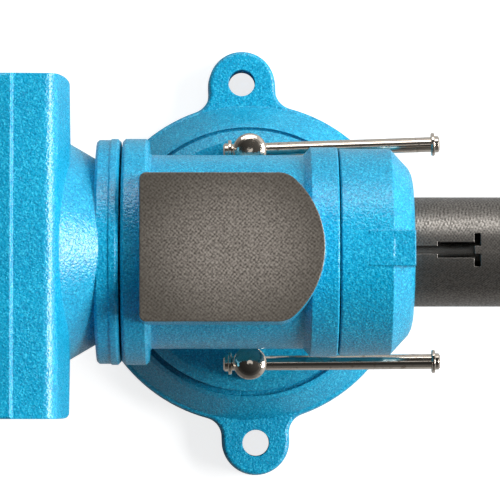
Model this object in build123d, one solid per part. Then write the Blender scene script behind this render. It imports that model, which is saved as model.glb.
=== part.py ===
from build123d import *
import os
from math import cos, radians, sin, sqrt

# A 5 inch bench vise with a turning head, on a swivel base. Millimetres, +Z up.
# The origin is the middle of the base's underside, on the swivel line.
# +X runs along the spindle line towards the rear end of the slide tube, and the jaws are at -X.

# ---- driving dimensions ----
AXIS_Z = 127.0              # height of the spindle line above the bench
JAW_WIDTH = 127.0           # 5 inch jaws
JAW_TOP_Z = AXIS_Z + 60.0
JAW_GAP = 12.0              # jaws stand this far open at rest
RUN_FIT = 0.05              # radial clearance of a running fit
LOOSE = 0.3                 # clearance between faces that pass without touching

# swivel base
BASE_TURN = 2.24            # degrees that the base stands turned under the body
BASE_R = 67.0               # at the bench; the wall leans in by BASE_DRAFT
BASE_DRAFT = 2.0            # degrees
BASE_TOP_Z = 28.0
LUG_Z = 15.0
LUG_R = 14.2
LUG_Y = 74.4
HOLE_PCD = 150.0
HOLE_R = 5.5
BASE_CAVITY_R = 57.0
BASE_CAVITY_Z = 18.5
BASE_MOUTH_R = 50.5

# body casting
FOOT_R = 53.3
FOOT_TOP_Z = 44.0
FOOT_CHAMFER = 4.3
BODY_FRONT_X = -48.7
BODY_FLANGE_X = -38.7
BODY_FLANGE_R = 43.3
BARREL_R = 37.1
BODY_REAR_R = 40.1
BODY_REAR_X = 22.8
BODY_END_X = 33.1
SHANK_R = 30.0
ANVIL_Z = AXIS_Z + 48.0
ANVIL_FRONT_X = -41.4
ANVIL_REAR_X = 27.3
ANVIL_HALF = 27.6
ANVIL_ARC_R = 34.1
PEDESTAL_X = -20.0
WAIST_Z = FOOT_TOP_Z + 14.0

# lock bolts of the swivel base
BOLT_Y = 42.2
BOLT_HEAD_R = 6.65
BOLT_TOP_Z = 87.0
BOLT_CROWN = 2.6            # height of the head's domed top
WASHER_TOP_Z = FOOT_TOP_Z + 1.6
BOLT_R = 4.0                # M8
BOLT_END_Z = 11.0
BAR_Z = 79.0
BAR_R = 3.0
BAR_LENGTH = 86.0
BAR_REACH = 75.5            # from the bolt's line to the bar's far end
LEFT_BAR_TURN = 2.0         # degrees
RIGHT_BAR_TURN = 0.5

# turning head
HEAD_FLANGE_R = 43.3
HEAD_FLANGE_X = -58.6
HEAD_STEP_X = -53.0         # the flange's rear part stands a little prouder
HEAD_GAP_X = -49.5
NECK_R = 40.4               # inside the jaw casting
NECK_CORE_R = 33.0
NECK_FRONT_X = -72.0
NECK_FRONT = (43.0, 53.0)   # the oval neck's half width and half height at its front
NECK_REAR_X = -56.4
NECK_REAR = (33.9, 42.6)
SHANK_END_X = 53.0
RING_START_X = 33.6
RING_END_X = 61.8
RING_R = 39.5
RING_SCREW_ANGLES = (-90.0, -25.0, 205.0)   # from +Y towards +Z
RING_SCREW_X = 44.0
RING_SCREW_R = 4.0
RING_BOSS_HALF = 6.6
RING_BOSS_END_X = 61.4
RING_KEY_BOX = (36.0, 52.0, -4.0, 4.0, AXIS_Z + SHANK_R - 3.0, AXIS_Z + SHANK_R + 3.0)

# jaws
SEAT_X = -110.0             # face of the head that the jaw plate is bolted to
PLATE_T = 10.0
PLATE_H = 26.0
PLATE_Y = 42.0              # plate screws, each side of the middle
PLATE_SCREW_Z = JAW_TOP_Z - PLATE_H / 2
WING_BOTTOM_Z = 157.0
JAW_REACH = 60.0            # more than any jaw casting's depth behind its seat
LEDGE = 6.0                 # the jaw plate stands on a ledge this deep
PIPE_Z = 84.0               # middle of the pipe jaws
PIPE_H = 28.0
PIPE_HALF = 26.0
PIPE_T = 9.5                # from the jaw plate's seat to the pipe jaw's face
PIPE_SEAT = 4.0             # the pipe jaw stands in a pocket this deep
PIPE_Y = 17.0
LOWER_HALF = 31.0
LOWER_Z = 68.0
MOVING_SEAT_X = SEAT_X - 2 * PLATE_T - JAW_GAP

# slide tube
TUBE_R = 21.0
TUBE_BORE_R = 16.0
TUBE_FRONT_X = MOVING_SEAT_X - 50.0
TUBE_REAR_X = 128.0
SLOT_W = 3.0
SLOT_START_X = -70.0
POCKET_X = 70.5
POCKET_END_X = 84.5
POCKET_W = 6.0
CROSS_END_X = 86.8
CROSS_HALF = 6.3
TUBE_SCREW_XS = (TUBE_FRONT_X + 8.0, TUBE_FRONT_X + 23.0)
TUBE_SCREW_R = 5.0

# spindle and handle
SPINDLE_R = 10.0
SPINDLE_END_X = 95.0
WALL_X = TUBE_FRONT_X - 12.0            # front wall of the moving jaw's boss
COLLAR_R = 15.8
NOSE_X = WALL_X - 8.0                   # end of the moving jaw's boss
NOSE_R = 30.0
CAP_T = 4.0
SPINDLE_NECK_R = 12.0
SPINDLE_HEAD_R = 17.0
SPINDLE_HEAD_X = NOSE_X - CAP_T - 22.0  # line of the handle bar
HANDLE_R = 6.0
HANDLE_HALF = 95.0
NUT_FRONT_X = -72.0
NUT_REAR_X = -32.0
KEY_X = -50.0
KEY_LENGTH = 12.0

# head lock
HEAD_LOCK_X = 21.5
HEAD_LOCK_R = 6.0           # M12
HEAD_LOCK_BAR_Z = 62.0
LOCK_BOSS_Z = 78.0
LOCK_BAR_LENGTH = 56.0
LOCK_BAR_REACH = 44.0
LOCK_BAR_R = 2.5

# screws and caps
PLATE_SCREW_R = 4.0         # M8
PIPE_SCREW_R = 3.0          # M6
RETAINING_SCREW_R = 2.0     # M4
RETAINING_CIRCLE_R = 22.6
KNOB_R = 10.5
CAP_LENGTH = 3.4            # of the caps on the lock bars
CAP_DISC_R = 4.6
SMALL_CAP_DISC_R = 3.9


# ---- helpers ----
def rod_x(radius, x0, x1, y=0.0, z=AXIS_Z):
    """A round bar along X."""
    return Pos((x0 + x1) / 2, y, z) * Rot(0, 90, 0) * Cylinder(radius, abs(x1 - x0))


def rod_y(radius, y0, y1, x, z):
    """A round bar along Y."""
    return Pos(x, (y0 + y1) / 2, z) * Rot(90, 0, 0) * Cylinder(radius, abs(y1 - y0))


def rod_z(radius, z0, z1, x=0.0, y=0.0):
    """A round bar along Z."""
    return Pos(x, y, (z0 + z1) / 2) * Cylinder(radius, abs(z1 - z0))


def block(x0, x1, y0, y1, z0, z1):
    """A block between two corners."""
    return Pos((x0 + x1) / 2, (y0 + y1) / 2, (z0 + z1) / 2) * Box(abs(x1 - x0), abs(y1 - y0), abs(z1 - z0))


def turned_x(points):
    """A solid turned about the spindle line, from (x, radius) points."""
    face = Face(Wire.make_polygon([(x, 0, AXIS_Z + r) for x, r in points], close=True))
    return revolve(face, Axis((0, 0, AXIS_Z), (1, 0, 0)))


def turned_z(points, x=0.0, y=0.0):
    """A solid turned about an upright line, from (radius, z) points."""
    face = Face(Wire.make_polygon([(r, 0, z) for r, z in points], close=True))
    return Pos(x, y, 0) * revolve(face, Axis.Z)


def side_slab(points, half_width):
    """An outline of (x, z) points, made thick from -half_width to +half_width in Y."""
    face = Face(Wire.make_polygon([(x, -half_width, z) for x, z in points], close=True))
    return extrude(face, amount=2 * half_width, dir=(0, 1, 0))


def front_slab(outline, x0, x1):
    """A sketch of (y, z), made thick along X."""
    return extrude(Plane((x0, 0, 0), x_dir=(0, 1, 0), z_dir=(1, 0, 0)) * outline, amount=x1 - x0)


def one(shape):
    """The single solid of a shape."""
    found = shape.solids()
    assert len(found) == 1, len(found)
    return found[0]


def group(shapes):
    """Separate solids kept together in one node."""
    return Compound(children=[one(s) for s in shapes])


def cap_screw_x(x_head, direction, y, z, radius, head_radius, head_h, length):
    """A socket head cap screw along X: the head's outer face is at x_head, the point goes in direction."""
    head = rod_x(head_radius, x_head, x_head + direction * head_h, y, z)
    shank = rod_x(radius, x_head + direction * head_h, x_head + direction * (head_h + length), y, z)
    hexagon = Plane((x_head, y, z), z_dir=(direction, 0, 0)) * RegularPolygon(radius * 0.85, 6)
    socket = extrude(hexagon, amount=head_h * 0.6)
    return head + shank - socket


# ---- swivel base ----
def swivel_base():
    plan = Circle(BASE_R) + Rectangle(2 * LUG_R, 2 * LUG_Y)
    plan += Pos(0, LUG_Y) * Circle(LUG_R)
    plan += Pos(0, -LUG_Y) * Circle(LUG_R)
    inner = [v for v in plan.vertices() if 60 < Vector(v.X, v.Y, 0).length < 72]
    plan = fillet(inner, 8.0)
    lower = extrude(plan, amount=LUG_Z, taper=BASE_DRAFT)
    lower = fillet(lower.faces().sort_by(Axis.Z)[-1].outer_wire().edges(), 1.6)
    upper = turned_z([(0, 1), (BASE_R - 1.6, 1), (BASE_R - 1.6, LUG_Z - 0.5), (BASE_R - 3.2, LUG_Z + 2.2),
                      (BASE_R - 9.6, BASE_TOP_Z - 1.8), (BASE_R - 11.6, BASE_TOP_Z), (0, BASE_TOP_Z)])
    shape = lower + upper
    shape -= rod_z(BASE_CAVITY_R, -1, BASE_CAVITY_Z)
    shape -= rod_z(BASE_MOUTH_R, BASE_CAVITY_Z - 1, BASE_TOP_Z + 1)
    groove = rod_z(FOOT_R + 2.1, BASE_TOP_Z - 2.4, BASE_TOP_Z + 1)
    shape -= groove - rod_z(FOOT_R - 0.5, BASE_TOP_Z - 3, BASE_TOP_Z + 2)
    for side in (-1, 1):
        shape -= rod_z(HOLE_R, -1, LUG_Z + 1, 0, side * HOLE_PCD / 2)
    return Rot(0, 0, BASE_TURN) * shape


def clamp_ring():
    ring = rod_z(BASE_CAVITY_R - 1.5, BASE_CAVITY_Z - 9.0, BASE_CAVITY_Z - LOOSE)
    ring -= rod_z(30.0, 0, BASE_CAVITY_Z)
    for side in (-1, 1):
        ring -= rod_z(BOLT_R, 0, BASE_CAVITY_Z, 0, side * BOLT_Y)
    ring = chamfer(ring.edges().filter_by(GeomType.CIRCLE).filter_by(lambda e: e.radius > 50), 1.0)
    return ring


# ---- body casting ----
def anvil_plan(grow=0.0):
    """The anvil's outline: straight front and sides, round corners, and a rear edge that bulges in an arc."""
    half = ANVIL_HALF + grow
    radius = ANVIL_ARC_R + grow
    centre_x = ANVIL_REAR_X - ANVIL_ARC_R
    corner_x = centre_x + sqrt(radius ** 2 - half ** 2)
    front_x = ANVIL_FRONT_X - grow
    lines = Polyline((corner_x, -half), (front_x, -half), (front_x, half), (corner_x, half))
    arc = ThreePointArc((corner_x, half), (centre_x + radius, 0), (corner_x, -half))
    plan = make_face(lines + arc)
    plan = fillet(plan.vertices().sort_by(Axis.X)[-2:], 9.0)
    return fillet(plan.vertices().sort_by(Axis.X)[:2], 2.4)


def pedestal_block():
    """The upright between foot and barrel: a rounded block with a waist."""
    low = Pos(PEDESTAL_X, 0) * RectangleRounded(52, 54, 12)
    waist = Pos(PEDESTAL_X, 0) * RectangleRounded(40, 42, 11)
    high = Pos(PEDESTAL_X, 0) * RectangleRounded(42, 48, 11)
    lower = loft([Plane.XY.offset(FOOT_TOP_Z - 1) * low, Plane.XY.offset(WAIST_Z) * waist])
    upper = loft([Plane.XY.offset(WAIST_Z) * waist, Plane.XY.offset(AXIS_Z - 12) * high])
    return lower + upper


def body_casting():
    foot = turned_z([(0, BASE_TOP_Z + 0.2), (FOOT_R, BASE_TOP_Z + 0.2), (FOOT_R, FOOT_TOP_Z - FOOT_CHAMFER + 1),
                     (FOOT_R - FOOT_CHAMFER, FOOT_TOP_Z), (0, FOOT_TOP_Z)])
    pilot = rod_z(BASE_MOUTH_R - LOOSE, BASE_CAVITY_Z, BASE_TOP_Z + 1)
    pedestal = pedestal_block()
    barrel = turned_x([(BODY_FRONT_X, 0), (BODY_FRONT_X, BODY_FLANGE_R - 1.0), (BODY_FRONT_X + 1.0, BODY_FLANGE_R),
                       (BODY_FLANGE_X - 1.2, BODY_FLANGE_R), (BODY_FLANGE_X, BODY_FLANGE_R - 1.2),
                       (BODY_FLANGE_X, BARREL_R + 1.0), (BODY_FLANGE_X + 1.0, BARREL_R),
                       (BODY_REAR_X - 2.7, BARREL_R), (BODY_REAR_X, BODY_REAR_R),
                       (BODY_END_X - 0.5, BODY_REAR_R), (BODY_END_X, BODY_REAR_R - 0.5), (BODY_END_X, 0)])
    shape = foot + pilot + pedestal + barrel
    top = Plane.XY.offset(ANVIL_Z) * anvil_plan()
    bottom = Plane.XY.offset(AXIS_Z) * anvil_plan(grow=1.6)
    shape += loft([bottom.face(), top.face()])
    shape += rod_z(11.0, LOCK_BOSS_Z, AXIS_Z - SHANK_R - 2, HEAD_LOCK_X)
    shape -= rod_x(SHANK_R + RUN_FIT, BODY_FRONT_X - 5, BODY_END_X + 5)
    for side in (-1, 1):
        shape -= rod_z(BOLT_R + 0.2, 0, FOOT_TOP_Z + 5, 0, side * BOLT_Y)
    shape -= rod_z(HEAD_LOCK_R, 60, AXIS_Z, HEAD_LOCK_X)
    shape -= rod_z(22.0, 10, FOOT_TOP_Z - 8)
    return shape


# ---- turning head ----
def jaw_front(outline_half):
    """Front view of a jaw casting: wings, a round boss round the tube, and the pipe jaw's block below."""
    wing_z = WING_BOTTOM_Z - AXIS_Z
    top_z = JAW_TOP_Z - AXIS_Z
    wings = Polygon((-outline_half, wing_z), (-30, 20), (30, 20), (outline_half, wing_z),
                    (outline_half, top_z), (-outline_half, top_z), align=None)
    wings = fillet(wings.vertices().filter_by(lambda v: abs(v.X) > 40 and v.Y < wing_z + 1), 5.0)
    wings = fillet(wings.vertices().sort_by(Axis.Y)[-2:], 1.2)
    lower_z = LOWER_Z - AXIS_Z
    lower = Pos(0, lower_z / 2) * Rectangle(2 * LOWER_HALF, -lower_z)
    lower = fillet(lower.vertices().filter_by(lambda v: v.Y < lower_z + 1), 5.0)
    return Pos(0, AXIS_Z) * (wings + lower + Circle(NECK_R - 3.0))


def jaw_profile(seat_x, away):
    """Side view of a jaw casting: a smooth flat top, a small step down, a round rear edge, and a back
    that slopes out a little as it goes down. Points are (distance from the seat, Z)."""
    def at(distance, z):
        return (seat_x + away * distance, -JAW_WIDTH, z)

    top = [at(0, JAW_TOP_Z), at(21.6, JAW_TOP_Z), at(22.5, JAW_TOP_Z - 1.0), at(33.5, JAW_TOP_Z - 1.9)]
    rim_middle = at(37.05, JAW_TOP_Z - 3.4)
    back = [at(38.9, JAW_TOP_Z - 6.8), at(43.0, WING_BOTTOM_Z - 4), at(44.2, AXIS_Z), at(42.0, LOWER_Z + 12),
            at(38.0, LOWER_Z - 1), at(0, LOWER_Z - 1), at(0, JAW_TOP_Z)]
    edges = Polyline(*top).edges() + [ThreePointArc(top[-1], rim_middle, back[0])] + Polyline(*back).edges()
    return Face(Wire(edges))


def jaw_block(seat_x, away):
    """A jaw casting from its seat face, with its back towards away (+1 or -1)."""
    near = min(seat_x, seat_x + away * JAW_REACH)
    side = extrude(jaw_profile(seat_x, away), amount=2 * JAW_WIDTH, dir=(0, 1, 0))
    shape = front_slab(jaw_front(JAW_WIDTH / 2), near, near + JAW_REACH) & side
    plan = fillet(Rectangle(2 * 42.0, JAW_WIDTH).vertices(), 2.0)
    shape = shape & (Pos(seat_x, 0, LOWER_Z - 5) * extrude(plan, amount=JAW_TOP_Z - LOWER_Z + 10))
    ledge_x = seat_x - away * LEDGE
    ledge = block(seat_x, ledge_x, -JAW_WIDTH / 2, JAW_WIDTH / 2, WING_BOTTOM_Z - 1, JAW_TOP_Z - PLATE_H)
    return one(shape + ledge)


def seat_cuts(seat_x, away):
    """The pipe jaw's pocket, and the tapped holes for the jaw plate's and the pipe jaw's screws."""
    pocket = block(seat_x + away * PIPE_SEAT, seat_x - away, -PIPE_HALF - 0.2, PIPE_HALF + 0.2,
                   PIPE_Z - PIPE_H / 2 - 0.2, PIPE_Z + PIPE_H / 2 + 0.2)
    holes = []
    for side in (-1, 1):
        holes.append(rod_x(PLATE_SCREW_R, seat_x, seat_x + away * 16, side * PLATE_Y, PLATE_SCREW_Z))
        holes.append(rod_x(PIPE_SCREW_R, seat_x, seat_x + away * 14, side * PIPE_Y, PIPE_Z))
    return [pocket] + holes


def oval_across(x, halves):
    """An ellipse across the spindle line at x, from its half width and half height."""
    return Plane(origin=(x, 0, AXIS_Z), x_dir=(0, 1, 0), z_dir=(1, 0, 0)) * Ellipse(*halves)


def head_casting():
    shape = jaw_block(SEAT_X, 1)
    shape += loft([oval_across(NECK_FRONT_X, NECK_FRONT), oval_across(NECK_REAR_X, NECK_REAR)], ruled=True)
    shape += turned_x([(SEAT_X, 0), (SEAT_X, NECK_R - 2.0), (SEAT_X + 2.0, NECK_R),
                       (NECK_FRONT_X + 1.0, NECK_R), (NECK_FRONT_X + 4.0, NECK_CORE_R),
                       (HEAD_FLANGE_X, NECK_CORE_R), (HEAD_FLANGE_X, HEAD_FLANGE_R - 1.2),
                       (HEAD_FLANGE_X + 0.9, HEAD_FLANGE_R - 0.4), (HEAD_STEP_X - 0.4, HEAD_FLANGE_R - 0.4),
                       (HEAD_STEP_X, HEAD_FLANGE_R), (HEAD_GAP_X - 1.2, HEAD_FLANGE_R),
                       (HEAD_GAP_X, HEAD_FLANGE_R - 1.2), (HEAD_GAP_X, SHANK_R),
                       (SHANK_END_X - 1.0, SHANK_R), (SHANK_END_X, SHANK_R - 1.0), (SHANK_END_X, 0)])
    shape -= rod_x(TUBE_R + RUN_FIT, SEAT_X - 10, SHANK_END_X + 5)
    for cut in seat_cuts(SEAT_X, 1):
        shape -= cut
    half = KEY_LENGTH / 2 + 0.1
    shape -= block(KEY_X - half, KEY_X + half, -1.4, 1.4, AXIS_Z + TUBE_R - 1, AXIS_Z + 25.0)
    shape -= block(*RING_KEY_BOX)
    for angle in RING_SCREW_ANGLES:
        shape -= radial_rod(RING_SCREW_R, SHANK_R - 2.0, SHANK_R + 2.0, RING_SCREW_X, angle)
    return one(shape)


def radial_rod(radius, r0, r1, x, angle):
    """A round bar square to the spindle line, from radius r0 to r1, at an angle from +Y towards +Z."""
    rod = Pos(0, 0, (r0 + r1) / 2) * Cylinder(radius, r1 - r0)
    return Pos(x, 0, AXIS_Z) * Rot(angle - 90, 0, 0) * rod


def rear_ring():
    shape = turned_x([(RING_START_X, SHANK_R), (RING_START_X, RING_R - 0.5), (RING_START_X + 0.5, RING_R),
                      (53.3, RING_R), (60.2, 32.0), (61.3, 29.8), (RING_END_X, 27.6),
                      (RING_END_X, TUBE_R + 0.4), (SHANK_END_X, TUBE_R + 0.4),
                      (SHANK_END_X, SHANK_R)])
    half, end = RING_BOSS_HALF, RING_BOSS_END_X
    shape += block(44.0, end, -half, half, AXIS_Z + SHANK_R + 1.0, AXIS_Z + RING_R - 0.3)
    shape += block(SHANK_END_X + 1, end, -half, half, AXIS_Z + 24.0, AXIS_Z + SHANK_R + 2.0)
    shape -= block(*RING_KEY_BOX)
    for angle in RING_SCREW_ANGLES:
        shape -= radial_rod(RING_SCREW_R, SHANK_R - 1.0, RING_R + 2.0, RING_SCREW_X, angle)
    return one(shape)


def ring_key():
    return one(block(*RING_KEY_BOX))


def ring_set_screws():
    screws = []
    for angle in RING_SCREW_ANGLES:
        screw = radial_rod(RING_SCREW_R, SHANK_R - 2.0, RING_R - 1.5, RING_SCREW_X, angle)
        socket = Pos(0, 0, RING_R - 4.5) * extrude(RegularPolygon(2.3, 6), amount=4.0)
        screw -= Pos(RING_SCREW_X, 0, AXIS_Z) * Rot(angle - 90, 0, 0) * socket
        screws.append(screw)
    return group(screws)


# ---- jaw plates and pipe jaws ----
def jaw_plate(seat_x, face_dir):
    """A hard steel plate with two counterbored holes. Its gripping face points in face_dir."""
    face_x = seat_x + face_dir * PLATE_T
    plate = block(seat_x, face_x, -JAW_WIDTH / 2, JAW_WIDTH / 2, JAW_TOP_Z - PLATE_H, JAW_TOP_Z)
    plate = chamfer(plate.edges().filter_by(Axis.Y), 0.5)
    for side in (-1, 1):
        plate -= rod_x(PLATE_SCREW_R, seat_x - face_dir, face_x, side * PLATE_Y, PLATE_SCREW_Z)
        plate -= rod_x(6.6, seat_x + face_dir * 3.5, face_x + face_dir, side * PLATE_Y, PLATE_SCREW_Z)
    return one(plate)


def plate_screws(seat_x, face_dir):
    head_x = seat_x + face_dir * 8.5
    return group(cap_screw_x(head_x, -face_dir, side * PLATE_Y, PLATE_SCREW_Z, PLATE_SCREW_R, 6.4, 5.0, 17.0)
                 for side in (-1, 1))


def pipe_jaw(seat_x, face_dir):
    """A pipe jaw: a block with a V-shaped hollow along Y, cut into teeth."""
    face_x = seat_x + face_dir * PIPE_T
    low, high = PIPE_Z - PIPE_H / 2, PIPE_Z + PIPE_H / 2
    teeth = 7
    depth, tooth = 6.0, 0.9
    back_x = seat_x - face_dir * PIPE_SEAT
    points = [(back_x, low), (face_x, low)]
    half = PIPE_H / 2 - 3.0
    step = half / teeth
    for side in (-1, 1):
        for i in range(teeth):
            k = i if side < 0 else teeth - i
            z = PIPE_Z + side * (half - k * step)
            into = depth * k / teeth
            points.append((face_x - face_dir * into, z))
            points.append((face_x - face_dir * (into + tooth), z + step * 0.3))
    points += [(face_x, PIPE_Z + half), (face_x, high), (back_x, high)]
    jaw = side_slab(points, PIPE_HALF)
    for side in (-1, 1):
        jaw -= rod_x(PIPE_SCREW_R, seat_x - face_dir * (PIPE_SEAT + 1), face_x, side * PIPE_Y, PIPE_Z)
        jaw -= rod_x(5.2, seat_x - face_dir * (PIPE_SEAT - 3.0), face_x + face_dir, side * PIPE_Y, PIPE_Z)
    return one(jaw)


def pipe_screws(seat_x, face_dir):
    head_x = seat_x + face_dir * 2.6
    return group(cap_screw_x(head_x, -face_dir, side * PIPE_Y, PIPE_Z, PIPE_SCREW_R, 5.0, 3.6, 12.0)
                 for side in (-1, 1))


# ---- moving jaw and slide ----
def moving_jaw():
    shape = jaw_block(MOVING_SEAT_X, -1)
    shape += turned_x([(MOVING_SEAT_X, 0), (MOVING_SEAT_X, NECK_R - 2.0), (MOVING_SEAT_X - 2.0, NECK_R),
                       (TUBE_FRONT_X + 4, NECK_R), (TUBE_FRONT_X, 39.0), (NOSE_X + 8, NOSE_R + 1.5),
                       (NOSE_X + 1, NOSE_R), (NOSE_X, NOSE_R - 1), (NOSE_X, 0)])
    shape -= rod_x(TUBE_R, MOVING_SEAT_X + 10, TUBE_FRONT_X)
    shape -= rod_x(SPINDLE_R + RUN_FIT, TUBE_FRONT_X + 1, NOSE_X - 1)
    shape -= rod_x(COLLAR_R + LOOSE, WALL_X, NOSE_X - 1)
    for cut in seat_cuts(MOVING_SEAT_X, -1):
        shape -= cut
    for x in TUBE_SCREW_XS:
        shape -= rod_z(TUBE_SCREW_R, LOWER_Z - 5, AXIS_Z - TUBE_R + 1, x)
    for y, z in retaining_places():
        shape -= rod_x(RETAINING_SCREW_R, NOSE_X + 10, NOSE_X - 1, y, z)
    return one(shape)


def retaining_places():
    radius = RETAINING_CIRCLE_R
    return [(radius * cos(radians(a)), AXIS_Z + radius * sin(radians(a))) for a in (45, 135, 225, 315)]


def tube_set_screws():
    screws = []
    for x in TUBE_SCREW_XS:
        bottom = AXIS_Z - NECK_R + 3.0 if x < MOVING_SEAT_X - 42 else LOWER_Z + 4.0
        screw = rod_z(TUBE_SCREW_R, bottom, AXIS_Z - TUBE_R + 2.0, x)
        screw -= Pos(x, 0, bottom) * extrude(RegularPolygon(2.9, 6), amount=5.0)
        screws.append(screw)
    return group(screws)


def slide_tube():
    tube = rod_x(TUBE_R, TUBE_FRONT_X, TUBE_REAR_X)
    tube = chamfer(tube.edges().filter_by(GeomType.CIRCLE), 1.0)
    tube -= rod_x(TUBE_BORE_R, TUBE_FRONT_X - 1, TUBE_REAR_X + 1)
    low, high = AXIS_Z + TUBE_BORE_R - 2, AXIS_Z + TUBE_R + 1
    tube -= block(SLOT_START_X, POCKET_X + 1, -SLOT_W / 2, SLOT_W / 2, low, high)
    tube -= block(POCKET_X, POCKET_END_X, -POCKET_W / 2, POCKET_W / 2, low, high)
    for side in (-1, 1):
        tube -= block(POCKET_END_X - 0.1, CROSS_END_X, side * SLOT_W / 2, side * CROSS_HALF, low, high)
    for x in TUBE_SCREW_XS:
        tube -= rod_z(TUBE_SCREW_R, AXIS_Z - TUBE_R - 1, AXIS_Z - TUBE_R + 2.0, x)
    return one(tube)


def spindle_nut():
    nut = rod_x(TUBE_BORE_R - LOOSE, NUT_FRONT_X, NUT_REAR_X) - rod_x(SPINDLE_R + RUN_FIT, -80, -20)
    nut -= block(KEY_X - KEY_LENGTH / 2, KEY_X + KEY_LENGTH / 2, -2.8, 2.8, AXIS_Z + 12.5, AXIS_Z + 20)
    return one(nut)


def nut_key():
    """A T-shaped key: its foot sits in the nut, and its blade goes up through the keyway into the head."""
    half = KEY_LENGTH / 2
    foot = block(KEY_X - half, KEY_X + half, -2.8, 2.8, AXIS_Z + 12.5, AXIS_Z + 15.2)
    blade = block(KEY_X - half, KEY_X + half, -1.2, 1.2, AXIS_Z + 15, AXIS_Z + 24.8)
    return one(foot + blade)


def spindle():
    shape = rod_x(SPINDLE_R, WALL_X - 4, SPINDLE_END_X)
    shape = chamfer(shape.edges().filter_by(GeomType.CIRCLE).sort_by(Axis.X)[-1:], 2.0)
    shape += rod_x(COLLAR_R, NOSE_X + LOOSE, WALL_X - 2.2)
    shape += rod_x(SPINDLE_NECK_R, NOSE_X - CAP_T - 6, NOSE_X + 1)
    profile = [(18, SPINDLE_NECK_R), (14, SPINDLE_HEAD_R - 2), (11, SPINDLE_HEAD_R), (-10, SPINDLE_HEAD_R),
               (-13, SPINDLE_HEAD_R - 2), (-14, SPINDLE_HEAD_R - 6), (-14, 0), (18, 0)]
    shape += turned_x([(SPINDLE_HEAD_X + d, r) for d, r in profile])
    shape -= rod_y(HANDLE_R + RUN_FIT, -30, 30, SPINDLE_HEAD_X, AXIS_Z)
    return one(shape)


def thrust_washer():
    return one(rod_x(COLLAR_R, WALL_X - 2.0, WALL_X) - rod_x(SPINDLE_R + 0.4, WALL_X - 5, WALL_X + 5))


def retaining_plate():
    plate = rod_x(NOSE_R - 1.0, NOSE_X - CAP_T, NOSE_X)
    plate = chamfer(plate.edges().filter_by(GeomType.CIRCLE).sort_by(Axis.X)[:1], 0.8)
    plate -= rod_x(SPINDLE_NECK_R + LOOSE, NOSE_X - 10, NOSE_X + 5)
    for y, z in retaining_places():
        plate -= rod_x(RETAINING_SCREW_R, NOSE_X - 10, NOSE_X + 5, y, z)
    return one(plate)


def retaining_screws():
    head_x = NOSE_X - CAP_T - 3.5
    return group(cap_screw_x(head_x, 1, y, z, RETAINING_SCREW_R, 3.6, 3.5, 12.0) for y, z in retaining_places())


def handle_bar():
    bar = rod_y(HANDLE_R, -HANDLE_HALF, HANDLE_HALF, SPINDLE_HEAD_X, AXIS_Z)
    return one(bar)


def handle_knobs():
    """Two domed knobs pressed on the ends of the handle bar."""
    knobs = []
    for side in (-1, 1):
        y = side * HANDLE_HALF
        knob = rod_y(KNOB_R, y - side * 12, y + side * 3, SPINDLE_HEAD_X, AXIS_Z)
        knob = fillet(knob.edges().filter_by(GeomType.CIRCLE), 3.5)
        knob -= rod_y(HANDLE_R, y - side * 20, y, SPINDLE_HEAD_X, AXIS_Z)
        knobs.append(knob)
    return group(knobs)


# ---- lock bolts and their bars ----
def lock_bolt(side):
    y = side * BOLT_Y
    profile = [(0, BOLT_END_Z), (BOLT_R - 1, BOLT_END_Z), (BOLT_R, BOLT_END_Z + 1), (BOLT_R, WASHER_TOP_Z),
               (BOLT_HEAD_R, WASHER_TOP_Z)]
    crown_z = BOLT_TOP_Z - BOLT_CROWN
    crown = [(BOLT_HEAD_R * cos(radians(a)), crown_z + BOLT_CROWN * sin(radians(a))) for a in range(0, 90, 10)]
    shape = turned_z(profile + crown + [(0, BOLT_TOP_Z)], 0, y)
    turn = LEFT_BAR_TURN if side > 0 else RIGHT_BAR_TURN
    hole = Rot(0, 0, turn) * Pos(0, 0, BAR_Z) * Rot(0, 90, 0) * Cylinder(BAR_R + RUN_FIT, 40)
    return one(shape - Pos(0, y, 0) * hole)


def lock_washers():
    return group(rod_z(BOLT_HEAD_R, FOOT_TOP_Z, WASHER_TOP_Z, 0, side * BOLT_Y)
                 - rod_z(BOLT_R + 0.2, FOOT_TOP_Z - 1, WASHER_TOP_Z + 1, 0, side * BOLT_Y) for side in (-1, 1))


def cross_bar(length, reach, radius):
    """A bar along X with a turned-down spigot at each end for its cap. The bolt's line is at X = 0."""
    shape = Pos(reach - length / 2, 0, 0) * Rot(0, 90, 0) * Cylinder(radius, length - 2 * CAP_LENGTH)
    shape += Pos(reach - length / 2, 0, 0) * Rot(0, 90, 0) * Cylinder(radius - 1.0, length - 2 * 0.8)
    return shape


def bar_cap(x, direction, radius, disc_radius):
    """A cap pressed on a bar's spigot: a thin disc and a rounded stub. It starts at x."""
    stub = radius + 0.3
    profile = [(0, 0), (0, disc_radius - 0.3), (0.3, disc_radius), (1.2, disc_radius), (1.4, disc_radius - 0.3),
               (1.4, stub), (2.8, stub), (CAP_LENGTH, stub - 0.8), (CAP_LENGTH, 0)]
    cap = Pos(0, 0, -AXIS_Z) * turned_x([(x + direction * d, r) for d, r in profile])
    return cap - Pos(x + direction * 1.3, 0, 0) * Rot(0, 90, 0) * Cylinder(radius - 1.0, 2.6)


def placed_bar(shape, side):
    turn = LEFT_BAR_TURN if side > 0 else RIGHT_BAR_TURN
    return Pos(0, side * BOLT_Y, BAR_Z) * Rot(0, 0, turn) * shape


def lock_bar(side):
    return one(placed_bar(cross_bar(BAR_LENGTH, BAR_REACH, BAR_R), side))


def lock_bar_caps(side):
    near = bar_cap(BAR_REACH - BAR_LENGTH + CAP_LENGTH, -1, BAR_R, CAP_DISC_R)
    far = bar_cap(BAR_REACH - CAP_LENGTH, 1, BAR_R, CAP_DISC_R)
    return group([placed_bar(near, side), placed_bar(far, side)])


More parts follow.
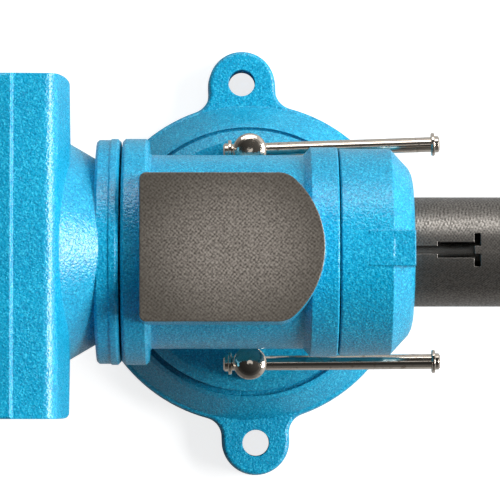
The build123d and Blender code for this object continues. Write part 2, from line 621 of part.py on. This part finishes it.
# ---- head lock, under the body's rear end ----
def head_lock_pad():
    """A soft pad that the head lock screw presses on the head's shank. Its top is hollowed to the shank."""
    pad = rod_z(5.7, AXIS_Z - SHANK_R - 4.5, AXIS_Z - SHANK_R + 2, HEAD_LOCK_X)
    return one(pad - rod_x(SHANK_R + LOOSE, 0, 60))


def head_lock_screw():
    tip = AXIS_Z - SHANK_R - 4.6
    z = HEAD_LOCK_BAR_Z
    shape = turned_z([(0, tip), (HEAD_LOCK_R - 1, tip), (HEAD_LOCK_R, tip - 1), (HEAD_LOCK_R, z + 8),
                      (7.5, z + 7), (7.5, z - 5.5), (6.0, z - 7), (0, z - 7)], HEAD_LOCK_X)
    return one(shape - rod_x(LOCK_BAR_R + RUN_FIT, 0, 60, 0, z))


def head_lock_bar():
    place = Pos(HEAD_LOCK_X, 0, HEAD_LOCK_BAR_Z)
    return one(place * cross_bar(LOCK_BAR_LENGTH, LOCK_BAR_REACH, LOCK_BAR_R))


def head_lock_bar_caps():
    place = Pos(HEAD_LOCK_X, 0, HEAD_LOCK_BAR_Z)
    near = bar_cap(LOCK_BAR_REACH - LOCK_BAR_LENGTH + CAP_LENGTH, -1, LOCK_BAR_R, SMALL_CAP_DISC_R)
    far = bar_cap(LOCK_BAR_REACH - CAP_LENGTH, 1, LOCK_BAR_R, SMALL_CAP_DISC_R)
    return group([place * near, place * far])


# ---- every node ----
NODES = {
    "swivel_base": swivel_base(),
    "clamp_ring": clamp_ring(),
    "body_casting": body_casting(),
    "head_casting": head_casting(),
    "rear_ring": rear_ring(),
    "ring_key": ring_key(),
    "ring_set_screws": ring_set_screws(),
    "fixed_jaw_plate": jaw_plate(SEAT_X, -1),
    "fixed_plate_screws": plate_screws(SEAT_X, -1),
    "fixed_pipe_jaw": pipe_jaw(SEAT_X, -1),
    "fixed_pipe_screws": pipe_screws(SEAT_X, -1),
    "moving_jaw": moving_jaw(),
    "moving_jaw_plate": jaw_plate(MOVING_SEAT_X, 1),
    "moving_plate_screws": plate_screws(MOVING_SEAT_X, 1),
    "moving_pipe_jaw": pipe_jaw(MOVING_SEAT_X, 1),
    "moving_pipe_screws": pipe_screws(MOVING_SEAT_X, 1),
    "tube_set_screws": tube_set_screws(),
    "slide_tube": slide_tube(),
    "spindle": spindle(),
    "spindle_nut": spindle_nut(),
    "nut_key": nut_key(),
    "thrust_washer": thrust_washer(),
    "retaining_plate": retaining_plate(),
    "retaining_screws": retaining_screws(),
    "handle_bar": handle_bar(),
    "handle_knobs": handle_knobs(),
    "lock_bolt_left": lock_bolt(1),
    "lock_bolt_right": lock_bolt(-1),
    "lock_washers": lock_washers(),
    "lock_bar_left": lock_bar(1),
    "lock_bar_right": lock_bar(-1),
    "lock_bar_left_caps": lock_bar_caps(1),
    "lock_bar_right_caps": lock_bar_caps(-1),
    "head_lock_pad": head_lock_pad(),
    "head_lock_screw": head_lock_screw(),
    "head_lock_bar": head_lock_bar(),
    "head_lock_bar_caps": head_lock_bar_caps(),
}

os.makedirs("parts", exist_ok=True)
for name, shape in NODES.items():
    export_step(shape, f"parts/{name}.step")
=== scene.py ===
"""A bench vise with a turning head: its finishes and fine shapes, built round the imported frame, in metres."""
import math

import bpy
import numpy as np
from mathutils import Matrix, Vector


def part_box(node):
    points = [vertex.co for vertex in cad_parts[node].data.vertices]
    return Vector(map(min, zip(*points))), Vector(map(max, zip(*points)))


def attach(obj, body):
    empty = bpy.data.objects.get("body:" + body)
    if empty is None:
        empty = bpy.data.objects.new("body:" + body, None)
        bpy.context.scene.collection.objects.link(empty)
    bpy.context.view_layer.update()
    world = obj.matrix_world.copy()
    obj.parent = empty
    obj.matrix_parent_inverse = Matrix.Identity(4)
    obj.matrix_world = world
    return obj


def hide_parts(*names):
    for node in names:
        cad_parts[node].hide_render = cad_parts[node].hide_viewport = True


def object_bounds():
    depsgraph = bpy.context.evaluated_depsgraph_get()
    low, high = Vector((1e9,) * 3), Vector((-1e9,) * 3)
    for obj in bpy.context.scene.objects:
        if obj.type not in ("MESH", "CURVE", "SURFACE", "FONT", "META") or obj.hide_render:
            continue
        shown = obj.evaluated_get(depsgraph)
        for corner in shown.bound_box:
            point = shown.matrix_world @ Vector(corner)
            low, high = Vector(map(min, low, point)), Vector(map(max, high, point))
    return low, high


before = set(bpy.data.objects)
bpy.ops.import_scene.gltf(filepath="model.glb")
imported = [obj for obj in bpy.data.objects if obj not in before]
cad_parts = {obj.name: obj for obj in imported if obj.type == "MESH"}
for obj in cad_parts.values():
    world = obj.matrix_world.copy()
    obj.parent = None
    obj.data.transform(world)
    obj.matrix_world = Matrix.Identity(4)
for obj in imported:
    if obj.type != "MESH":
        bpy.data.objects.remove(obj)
cad_low, cad_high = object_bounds()
scene = bpy.context.scene

# ---- places read from the frame ----
AXIS_Z = sum(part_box("slide_tube")[i].z for i in (0, 1)) / 2     # height of the spindle line
ANVIL_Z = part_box("body_casting")[1].z                           # the machined top of the body
MM = 0.001
# middle and half-sizes of the painted highlight (sheen) on the anvil's top
ANVIL_MIDDLE = (-0.007, 0.0, ANVIL_Z)
ANVIL_HALVES = (0.036, 0.029, 1.0)
CAST_EDGE = 0.7 * MM                                            # edges of castings are rounded by this much
ENAMEL_RELIEF = 0.14 * MM                                       # depth of the enamel's dimples
BORE_R = (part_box("slide_tube")[1].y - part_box("slide_tube")[0].y) / 2 + 0.2 * MM     # machined bore round the tube


# ---- small makers of shader nodes ----
def add(tree, kind, inputs=None, **settings):
    """A shader node. Settings are its properties; inputs are values, or sockets that are linked to it."""
    made = tree.nodes.new("ShaderNode" + kind)
    for name, value in settings.items():
        setattr(made, name, value)
    for name, value in (inputs or {}).items():
        if isinstance(value, bpy.types.NodeSocket):
            tree.links.new(value, made.inputs[name])
        else:
            made.inputs[name].default_value = value
    return made


def math_node(tree, operation, a, b=0.0, clamp=False):
    """One sum of two values or sockets."""
    return add(tree, "Math", {0: a, 1: b}, operation=operation, use_clamp=clamp).outputs[0]


def ramp(tree, value, low, high, to_low=0.0, to_high=1.0):
    """A value spread smoothly from low..high to to_low..to_high."""
    inputs = {"Value": value, "From Min": low, "From Max": high, "To Min": to_low, "To Max": to_high}
    return add(tree, "MapRange", inputs, interpolation_type="SMOOTHSTEP").outputs["Result"]


def mix_colour(tree, factor, a, b, blend="MIX"):
    """Colour a, going to colour b by the factor."""
    made = add(tree, "Mix", {0: factor, 6: a, 7: b}, data_type="RGBA", blend_type=blend)
    return made.outputs[2]


def group(name, inputs, outputs):
    """A new shader node group. Inputs are name: (socket kind, default); outputs are name: socket kind."""
    tree = bpy.data.node_groups.new(name, "ShaderNodeTree")
    for label, (kind, default) in inputs.items():
        socket = tree.interface.new_socket(label, in_out="INPUT", socket_type="NodeSocket" + kind)
        socket.default_value = default
    for label, kind in outputs.items():
        tree.interface.new_socket(label, in_out="OUTPUT", socket_type="NodeSocket" + kind)
    return tree, tree.nodes.new("NodeGroupInput").outputs, tree.nodes.new("NodeGroupOutput").inputs


def use(tree, made, inputs=None):
    """A group placed in a material, with its own values."""
    placed = add(tree, "Group", node_tree=made)
    for name, value in (inputs or {}).items():
        if isinstance(value, bpy.types.NodeSocket):
            tree.links.new(value, placed.inputs[name])
        else:
            placed.inputs[name].default_value = value
    return placed.outputs


# ---- effects that several finishes share ----
def make_hammered():
    """Hammered enamel: shallow round dimples with ridges between them, and bright and dark flecks of pigment."""
    inputs = {"Dimple size": ("Float", 1.3), "Fleck size": ("Float", 0.55), "Flecks": ("Float", 1.0),
              "Deep": ("Color", (0.0, 0.2, 0.4, 1.0)), "Body": ("Color", (0.0, 0.3, 0.55, 1.0)),
              "Light": ("Color", (0.2, 0.6, 0.8, 1.0))}
    tree, given, out = group("hammered_enamel", inputs, {"Colour": "Color", "Roughness": "Float", "Height": "Float"})
    place = add(tree, "TexCoord").outputs["Object"]
    dimple_scale = math_node(tree, "DIVIDE", 1000.0, given["Dimple size"])
    fleck_scale = math_node(tree, "DIVIDE", 1000.0, given["Fleck size"])
    warp = add(tree, "TexNoise", {"Vector": place, "Scale": math_node(tree, "MULTIPLY", dimple_scale, 0.6)})
    shift = add(tree, "VectorMath", {0: warp.outputs["Color"], 1: (0.5, 0.5, 0.5)}, operation="SUBTRACT")
    shift = add(tree, "VectorMath", {0: shift.outputs[0], "Scale": 0.0012}, operation="SCALE")
    moved = add(tree, "VectorMath", {0: place, 1: shift.outputs[0]}, operation="ADD").outputs[0]
    cells = add(tree, "TexVoronoi", {"Vector": moved, "Scale": dimple_scale, "Smoothness": 0.6},
                feature="SMOOTH_F1")
    dimples = ramp(tree, cells.outputs["Distance"], 0.1, 0.75)
    ripple = add(tree, "TexNoise", {"Vector": place, "Scale": math_node(tree, "MULTIPLY", dimple_scale, 1.7),
                                    "Detail": 2.0})
    height = math_node(tree, "ADD", math_node(tree, "MULTIPLY", dimples, 0.7),
                       math_node(tree, "MULTIPLY", ripple.outputs["Fac"], 0.5))
    flecks = add(tree, "TexVoronoi", {"Vector": moved, "Scale": fleck_scale}, feature="F1")
    chance = add(tree, "SeparateColor", {0: flecks.outputs["Color"]}).outputs[0]
    bright = math_node(tree, "MULTIPLY", ramp(tree, chance, 0.62, 0.98), given["Flecks"], True)
    dark = math_node(tree, "MULTIPLY", ramp(tree, chance, 0.38, 0.02), given["Flecks"], True)
    cloud = add(tree, "TexNoise", {"Vector": place, "Scale": 45.0, "Detail": 4.0}).outputs["Fac"]
    colour = mix_colour(tree, ramp(tree, cloud, 0.3, 0.7, 0.0, 0.35), given["Body"], given["Deep"])
    colour = mix_colour(tree, math_node(tree, "MULTIPLY", dark, 0.8), colour, given["Deep"])
    colour = mix_colour(tree, math_node(tree, "MULTIPLY", bright, 0.8), colour, given["Light"])
    tree.links.new(colour, out["Colour"])
    tree.links.new(ramp(tree, ripple.outputs["Fac"], 0.3, 0.7, 0.22, 0.38), out["Roughness"])
    tree.links.new(height, out["Height"])
    return tree


def make_grain():
    """Fine dotted grain of ground or oiled steel: two sets of thin wavy lines that cross, broken up by noise."""
    inputs = {"Dot size": ("Float", 0.9), "Dark": ("Color", (0.08, 0.07, 0.06, 1.0)),
              "Light": ("Color", (0.3, 0.28, 0.25, 1.0)), "Clouds": ("Float", 0.15)}
    tree, given, out = group("steel_grain", inputs, {"Colour": "Color", "Roughness": "Float", "Height": "Float"})
    place = add(tree, "TexCoord").outputs["Object"]
    scale = math_node(tree, "DIVIDE", 1000.0, given["Dot size"])
    bend = add(tree, "TexNoise", {"Vector": place, "Scale": math_node(tree, "MULTIPLY", scale, 0.25), "Detail": 2.0})
    bend = math_node(tree, "MULTIPLY", bend.outputs["Fac"], 8.0)
    lines = []
    for direction in ((4.1, 4.8, 5.4), (4.8, -4.1, -3.6)):
        along = add(tree, "VectorMath", {0: place, 1: direction}, operation="DOT_PRODUCT").outputs["Value"]
        phase = math_node(tree, "ADD", math_node(tree, "MULTIPLY", along, scale), bend)
        lines.append(math_node(tree, "SINE", phase))
    weave = math_node(tree, "ADD", math_node(tree, "MULTIPLY", math_node(tree, "ADD", *lines), 0.25), 0.5)
    speck = add(tree, "TexNoise", {"Vector": place, "Scale": math_node(tree, "MULTIPLY", scale, 1.3), "Detail": 3.0})
    cloud = add(tree, "TexNoise", {"Vector": place, "Scale": 55.0, "Detail": 3.0}).outputs["Fac"]
    dots = math_node(tree, "ADD", math_node(tree, "MULTIPLY", weave, 0.5),
                     ramp(tree, speck.outputs["Fac"], 0.34, 0.68, 0.0, 0.5))
    cloud = math_node(tree, "MULTIPLY", math_node(tree, "SUBTRACT", cloud, 0.5), given["Clouds"])
    tree.links.new(mix_colour(tree, math_node(tree, "ADD", dots, cloud, True), given["Dark"], given["Light"]),
                   out["Colour"])
    tree.links.new(ramp(tree, dots, 0.2, 0.8, 0.42, 0.32), out["Roughness"])
    tree.links.new(dots, out["Height"])
    return tree


def make_turned():
    """Fine tool marks round the X, Y or Z axis: thin rings stacked along that axis, a little uneven."""
    inputs = {"Along": ("Vector", (1.0, 0.0, 0.0)), "Pitch": ("Float", 0.4)}
    tree, given, out = group("turning_marks", inputs, {"Height": "Float", "Roughness": "Float"})
    place = add(tree, "TexCoord").outputs["Object"]
    along = add(tree, "VectorMath", {0: place, 1: given["Along"]}, operation="DOT_PRODUCT").outputs["Value"]
    rings = math_node(tree, "DIVIDE", math_node(tree, "MULTIPLY", along, 1000.0), given["Pitch"])
    noise = add(tree, "TexNoise", {"W": rings, "Scale": 1.0, "Detail": 3.0}, noise_dimensions="1D").outputs["Fac"]
    smear = add(tree, "TexNoise", {"Vector": place, "Scale": 90.0, "Detail": 3.0}).outputs["Fac"]
    tree.links.new(noise, out["Height"])
    rough = math_node(tree, "MULTIPLY", math_node(tree, "ADD", noise, smear), 0.5)
    tree.links.new(rough, out["Roughness"])
    return tree


HAMMERED = make_hammered()
GRAIN = make_grain()
TURNED = make_turned()


# ---- finishes ----
def new_material(name, **shader):
    """A material with one Principled shader, whose uniform values are set on its own sockets."""
    made = bpy.data.materials.new(name)
    made.use_nodes = True
    tree = made.node_tree
    tree.nodes.clear()
    surface = add(tree, "BsdfPrincipled")
    for label, value in shader.items():
        surface.inputs[label.replace("_", " ")].default_value = value
    out = add(tree, "OutputMaterial")
    tree.links.new(surface.outputs[0], out.inputs["Surface"])
    return made, tree, surface.inputs


def rounded(tree, radius):
    """A normal that rounds the edges off by a small radius."""
    return add(tree, "Bevel", {"Radius": radius}, samples=6).outputs["Normal"]


def enamel_parts(tree):
    """The blue enamel's colour, roughness and height."""
    return use(tree, HAMMERED, {"Dimple size": 1.0, "Fleck size": 0.5,
                                "Deep": (0.0, 0.20, 0.38, 1.0), "Body": (0.0, 0.33, 0.56, 1.0),
                                "Light": (0.035, 0.53, 0.76, 1.0)})


def bare_through_enamel(tree, shader, steel, bare, metallic):
    """Enamel that gives way to bare steel by a mask, in colour, metal, roughness and relief."""
    paint = enamel_parts(tree)
    tree.links.new(mix_colour(tree, bare, paint["Colour"], steel["Colour"]), shader["Base Color"])
    tree.links.new(math_node(tree, "MULTIPLY", bare, metallic), shader["Metallic"])
    rough = add(tree, "Mix", {0: bare, 2: paint["Roughness"], 3: steel["Roughness"]}, data_type="FLOAT")
    tree.links.new(rough.outputs[0], shader["Roughness"])
    low_grain = math_node(tree, "MULTIPLY", steel["Height"], 0.25)
    relief = add(tree, "Mix", {0: bare, 2: paint["Height"], 3: low_grain}, data_type="FLOAT")
    bump = add(tree, "Bump", {"Strength": 1.0, "Distance": ENAMEL_RELIEF, "Height": relief.outputs[0],
                              "Normal": rounded(tree, CAST_EDGE)})
    tree.links.new(bump.outputs[0], shader["Normal"])


def make_enamel():
    """Enamel, with bare machined steel in the bore round the slide tube."""
    made, tree, shader = new_material("blue_hammered_enamel", Specular_IOR_Level=0.6)
    steel = use(tree, GRAIN, {"Dot size": 0.8, "Dark": (0.10, 0.09, 0.08, 1.0), "Light": (0.34, 0.32, 0.29, 1.0)})
    place = add(tree, "TexCoord").outputs["Object"]
    across = add(tree, "VectorMath", {0: place, 1: (0.0, 1.0, 1.0)}, operation="MULTIPLY").outputs[0]
    radius = add(tree, "VectorMath", {0: across, 1: (0.0, 0.0, AXIS_Z)}, operation="DISTANCE").outputs["Value"]
    bare = ramp(tree, radius, BORE_R, BORE_R + 0.1 * MM, 1.0, 0.0)
    bare_through_enamel(tree, shader, steel, bare, 0.8)
    return made


def make_body_enamel():
    """Enamel, with bare machined steel on the anvil's flat top, and a painted highlight that makes the steel lighter
    in its middle and darker towards its corners.
    """
    made, tree, shader = new_material("blue_enamel_and_machined_anvil", Specular_IOR_Level=0.6)
    place = add(tree, "TexCoord").outputs["Object"]
    away = add(tree, "VectorMath", {0: place, 1: ANVIL_MIDDLE}, operation="SUBTRACT").outputs[0]
    away = add(tree, "VectorMath", {0: away, 1: ANVIL_HALVES}, operation="DIVIDE").outputs[0]
    away = add(tree, "VectorMath", {0: away}, operation="LENGTH").outputs["Value"]
    # painted highlight: the steel's light colour is brighter near the anvil's middle and fades to dark towards its
    # corners, standing in for sheen
    painted_sheen = ramp(tree, away, 0.25, 1.15, 1.0, 0.0)
    light = mix_colour(tree, painted_sheen, (0.20, 0.18, 0.15, 1.0), (0.52, 0.465, 0.41, 1.0))
    steel = use(tree, GRAIN, {"Dot size": 1.15, "Dark": (0.07, 0.058, 0.048, 1.0), "Light": light})
    height = add(tree, "SeparateXYZ", {0: place}).outputs[2]
    up = add(tree, "SeparateXYZ", {0: add(tree, "NewGeometry").outputs["True Normal"]}).outputs[2]
    on_top = ramp(tree, height, ANVIL_Z - 0.2 * MM, ANVIL_Z - 0.1 * MM)
    bare = math_node(tree, "MULTIPLY", on_top, ramp(tree, up, 0.8, 0.9))
    bare_through_enamel(tree, shader, steel, bare, 0.55)
    return made


def make_steel(name, dark, light, metallic, dot=0.8, strength=0.25, radius=0.4, along=None, **shader):
    """Bare or oiled steel with fine grain, and tool marks if along is given."""
    made, tree, inputs = new_material(name, Metallic=metallic, **shader)
    steel = use(tree, GRAIN, {"Dot size": dot, "Dark": (*dark, 1.0), "Light": (*light, 1.0)})
    height, rough = steel["Height"], steel["Roughness"]
    if along:
        marks = use(tree, TURNED, {"Along": along, "Pitch": 0.35})
        height = math_node(tree, "ADD", math_node(tree, "MULTIPLY", height, 0.3), marks["Height"])
        rough = math_node(tree, "MULTIPLY", math_node(tree, "ADD", rough, marks["Roughness"]), 0.42)
    bump = add(tree, "Bump", {"Strength": strength, "Distance": 0.0001, "Height": height,
                              "Normal": rounded(tree, radius * MM)})
    tree.links.new(steel["Colour"], inputs["Base Color"])
    tree.links.new(rough, inputs["Roughness"])
    tree.links.new(bump.outputs[0], inputs["Normal"])
    return made


def make_chrome(name, along):
    """Bright plating over turned steel: faint turning marks and small dull spots."""
    made, tree, shader = new_material(name, Metallic=1.0)
    marks = use(tree, TURNED, {"Along": along, "Pitch": 0.3})
    place = add(tree, "TexCoord").outputs["Object"]
    spots = add(tree, "TexNoise", {"Vector": place, "Scale": 500.0, "Detail": 3.0}).outputs["Fac"]
    colour = mix_colour(tree, ramp(tree, spots, 0.55, 0.75), (0.66, 0.59, 0.51, 1.0), (0.34, 0.27, 0.21, 1.0))
    tree.links.new(colour, shader["Base Color"])
    tree.links.new(ramp(tree, spots, 0.45, 0.8, 0.07, 0.3), shader["Roughness"])
    bump = add(tree, "Bump", {"Strength": 0.12, "Distance": 0.00005, "Height": marks["Height"],
                              "Normal": rounded(tree, 0.3 * MM)})
    tree.links.new(bump.outputs[0], shader["Normal"])
    return made


ENAMEL = make_enamel()
BODY_ENAMEL = make_body_enamel()
TUBE = make_steel("oiled_tube_steel", (0.055, 0.05, 0.045), (0.30, 0.28, 0.255), 0.92, dot=0.9)
GROUND = make_steel("ground_plate_steel", (0.26, 0.25, 0.24), (0.62, 0.60, 0.57), 1.0, dot=0.5, along=(0.0, 1.0, 0.0))
BLACK = make_steel("black_screw_steel", (0.012, 0.012, 0.012), (0.07, 0.068, 0.065), 0.5, dot=0.4)
CHROME_X = make_chrome("chrome_bar_plating", (1.0, 0.0, 0.0))
CHROME_Y = make_chrome("chrome_handle_plating", (0.0, 1.0, 0.0))
CHROME_Z = make_chrome("chrome_bolt_plating", (0.0, 0.0, 1.0))
BRONZE = make_steel("turned_bronze", (0.28, 0.16, 0.06), (0.66, 0.43, 0.20), 1.0, dot=0.5, along=(1.0, 0.0, 0.0))
IRON = make_steel("bare_cast_iron", (0.06, 0.055, 0.05), (0.20, 0.19, 0.175), 0.5, dot=1.2, strength=0.5)
SPINDLE = make_steel("spindle_steel", (0.16, 0.15, 0.14), (0.45, 0.43, 0.40), 1.0, dot=0.5, along=(1.0, 0.0, 0.0))

FINISHES = {
    "swivel_base": ENAMEL, "head_casting": ENAMEL, "moving_jaw": ENAMEL, "rear_ring": ENAMEL,
    "body_casting": BODY_ENAMEL,
    "clamp_ring": IRON, "slide_tube": TUBE, "ring_key": IRON, "nut_key": IRON,
    "fixed_jaw_plate": GROUND, "moving_jaw_plate": GROUND,
    "fixed_pipe_jaw": TUBE, "moving_pipe_jaw": TUBE,
    "fixed_plate_screws": BLACK, "moving_plate_screws": BLACK, "fixed_pipe_screws": BLACK,
    "moving_pipe_screws": BLACK, "retaining_screws": BLACK, "tube_set_screws": BLACK, "ring_set_screws": BLACK,
    "spindle": SPINDLE, "spindle_nut": BRONZE, "thrust_washer": BRONZE, "head_lock_pad": BRONZE,
    "retaining_plate": TUBE,
    "handle_bar": CHROME_Y, "handle_knobs": CHROME_Y,
    "lock_bolt_left": CHROME_Z, "lock_bolt_right": CHROME_Z, "lock_washers": CHROME_Z, "head_lock_screw": CHROME_Z,
    "lock_bar_left": CHROME_X, "lock_bar_right": CHROME_X, "lock_bar_left_caps": CHROME_X,
    "lock_bar_right_caps": CHROME_X, "head_lock_bar": CHROME_X, "head_lock_bar_caps": CHROME_X,
}
for name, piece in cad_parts.items():
    for place in piece.material_slots:
        place.material = FINISHES[name]


# ---- jaw plates with cut teeth ----
TOOTH_PITCH = 2.0 * MM
TOOTH_DEPTH = 0.45 * MM
PLAIN_BORDER = 1.4 * MM         # no teeth this close to the plate's border
PLATE_CHAMFER = 0.5 * MM
SETBACK = 0.01 * MM             # keeps the two plates just apart when the jaws close
COUNTERBORE_R = 6.6 * MM
COUNTERBORE_DEPTH = 6.5 * MM
COUNTERBORE_LAND = 1.2 * MM     # flat ring round each counterbore
COUNTERBORE_Y = 42.0 * MM       # each side of the middle
GRID_STEP = 0.5 * MM


def shell_from_face(name, x, y, z, back_x):
    """A closed block: a grid face, walls straight back from its border to back_x, and one flat back."""
    rows, columns = x.shape
    number = np.arange(rows * columns).reshape(rows, columns)
    quads = np.stack([number[:-1, :-1], number[:-1, 1:], number[1:, 1:], number[1:, :-1]], axis=-1).reshape(-1, 4)
    border = np.concatenate([number[0, :-1], number[:-1, -1], number[-1, :0:-1], number[:0:-1, 0]])
    rear = number.size + np.arange(border.size)
    walls = np.stack([np.roll(border, -1), border, rear, np.roll(rear, -1)], axis=-1)
    points = np.stack([x, y, z], axis=-1).reshape(-1, 3)
    behind = points[border].copy()
    behind[:, 0] = back_x
    faces = np.concatenate([quads, walls])
    if back_x > x.mean():
        faces, rear = faces[:, ::-1], rear[::-1]
    mesh = bpy.data.meshes.new(name)
    mesh.from_pydata(np.concatenate([points, behind]).tolist(), [], faces.tolist() + [rear.tolist()])
    piece = bpy.data.objects.new(name, mesh)
    scene.collection.objects.link(piece)
    return piece


def jaw_plate(node, body, facing):
    """A hard plate with diamond teeth. Over y and z, the face lies below its plane by the tooth depth times one less
    the smaller of two triangle waves along the diagonals; two round counterbores go down to the screw heads' floor,
    and the border is chamfered."""
    low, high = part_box(node)
    face_x, back_x = (high.x, low.x) if facing > 0 else (low.x, high.x)
    y, z = np.meshgrid(np.linspace(low.y, high.y, round((high.y - low.y) / GRID_STEP) + 1),
                       np.linspace(low.z, high.z, round((high.z - low.z) / GRID_STEP) + 1))
    edge = np.minimum(np.minimum(y - low.y, high.y - y), np.minimum(z - low.z, high.z - z))
    waves = [np.abs((way / TOOTH_PITCH) % 1.0 - 0.5) * 2.0 for way in (y + z - low.z, y - z + low.z)]
    teeth = TOOTH_DEPTH * (1.0 - np.minimum(*waves)) * (edge > PLAIN_BORDER)
    sunk = np.where(edge < 0.25 * GRID_STEP, PLATE_CHAMFER, teeth)
    for side in (-1, 1):
        # grid points near the bore's rim move onto it, so that its wall is round and steep
        from_y, from_z = y - side * COUNTERBORE_Y, z - (low.z + high.z) / 2
        radius = np.hypot(from_y, from_z)
        rim = np.abs(radius - COUNTERBORE_R) < 0.75 * GRID_STEP
        snapped = COUNTERBORE_R + np.where(radius < COUNTERBORE_R, -0.01 * MM, 0.01 * MM)
        scale = np.where(rim, snapped / np.maximum(radius, 1e-6), 1.0)
        y, z = y + from_y * (scale - 1.0), z + from_z * (scale - 1.0)
        land = np.where(radius < COUNTERBORE_R + COUNTERBORE_LAND, 0.0, sunk)
        sunk = np.where(radius < COUNTERBORE_R, COUNTERBORE_DEPTH, land)
    piece = shell_from_face(node + "_teeth", face_x - facing * (sunk + SETBACK), y, z, back_x)
    piece.data.materials.append(GROUND)
    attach(piece, body)
    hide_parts(node)


jaw_plate("fixed_jaw_plate", "head", -1)
jaw_plate("moving_jaw_plate", "slide", 1)


# ---- floor, light and camera ----
def make_floor():
    """A plain pale floor just under the base: a flat square surface."""
    half = 4.0
    mesh = bpy.data.meshes.new("floor")
    z = cad_low.z - 0.0002
    mesh.from_pydata([(-half, -half, z), (half, -half, z), (half, half, z), (-half, half, z)], [], [(0, 1, 2, 3)])
    floor = bpy.data.objects.new("floor", mesh)
    scene.collection.objects.link(floor)
    made, tree, shader = new_material("pale_floor", Base_Color=(0.4, 0.4, 0.4, 1.0), Roughness=0.7,
                                      Emission_Color=(1.0, 1.0, 1.0, 1.0))
    seen = add(tree, "LightPath").outputs["Is Camera Ray"]
    tree.links.new(math_node(tree, "MULTIPLY", seen, 0.8), shader["Emission Strength"])
    mesh.materials.append(made)


def make_light(name, place, aim, size, radiance):
    """A soft rectangular light. Its power gives it that radiance over its face."""
    data = bpy.data.lights.new(name, "AREA")
    data.shape = "RECTANGLE"
    data.size, data.size_y = size
    data.energy = radiance * math.pi * size[0] * size[1]
    made = bpy.data.objects.new(name, data)
    scene.collection.objects.link(made)
    made.location = place
    made.rotation_mode = "QUATERNION"
    made.rotation_quaternion = (Vector(aim) - Vector(place)).to_track_quat("-Z", "Y")


def make_world():
    """A room that is pale at its rear and left, and darker overhead, in front and on its right."""
    world = bpy.data.worlds.new("pale_room")
    scene.world = world
    world.use_nodes = True
    tree = world.node_tree
    tree.nodes.clear()
    way = add(tree, "TexCoord").outputs["Generated"]
    up = add(tree, "SeparateXYZ", {0: way}).outputs[2]
    side = add(tree, "VectorMath", {0: way, 1: (0.8, 0.6, 0.0)}, operation="DOT_PRODUCT").outputs["Value"]
    shade = math_node(tree, "MULTIPLY", ramp(tree, up, 0.35, 0.85, 1.0, 0.14), ramp(tree, side, -0.5, 1.0, 0.16, 1.0))
    out = add(tree, "OutputWorld")
    back = add(tree, "Background", {"Strength": shade, "Color": (1.0, 1.0, 1.0, 1.0)})
    tree.links.new(back.outputs[0], out.inputs["Surface"])


def make_camera():
    """Looks almost straight down on the body, with a long lens."""
    data = bpy.data.cameras.new("camera")
    data.sensor_width = 36.0
    data.lens = 248.3
    data.clip_end = 20.0
    made = bpy.data.objects.new("camera", data)
    scene.collection.objects.link(made)
    made.location = (-0.00864, -0.0525, 1.448)
    aim = Vector((-0.0002, 0.00075, AXIS_Z))
    ahead = (aim - made.location).normalized()
    right = ahead.cross(Vector((0.0, 1.0, 0.0))).normalized()
    made.rotation_mode = "QUATERNION"
    made.rotation_quaternion = Matrix((right, right.cross(ahead), -ahead)).transposed().to_quaternion()
    scene.camera = made


make_floor()
make_world()
make_light("light_rear", (1.3, 0.1, 1.0), (0.0, 0.0, 0.1), (1.2, 0.5), 21.0)
make_light("light_left", (-0.1, 1.4, 1.0), (0.0, 0.0, 0.1), (1.6, 0.6), 3.9)
make_light("light_above", (0.06, 0.08, 2.2), (0.06, 0.08, 0.1), (0.5, 0.35), 0.7)
make_camera()
scene.view_settings.view_transform = "Standard"
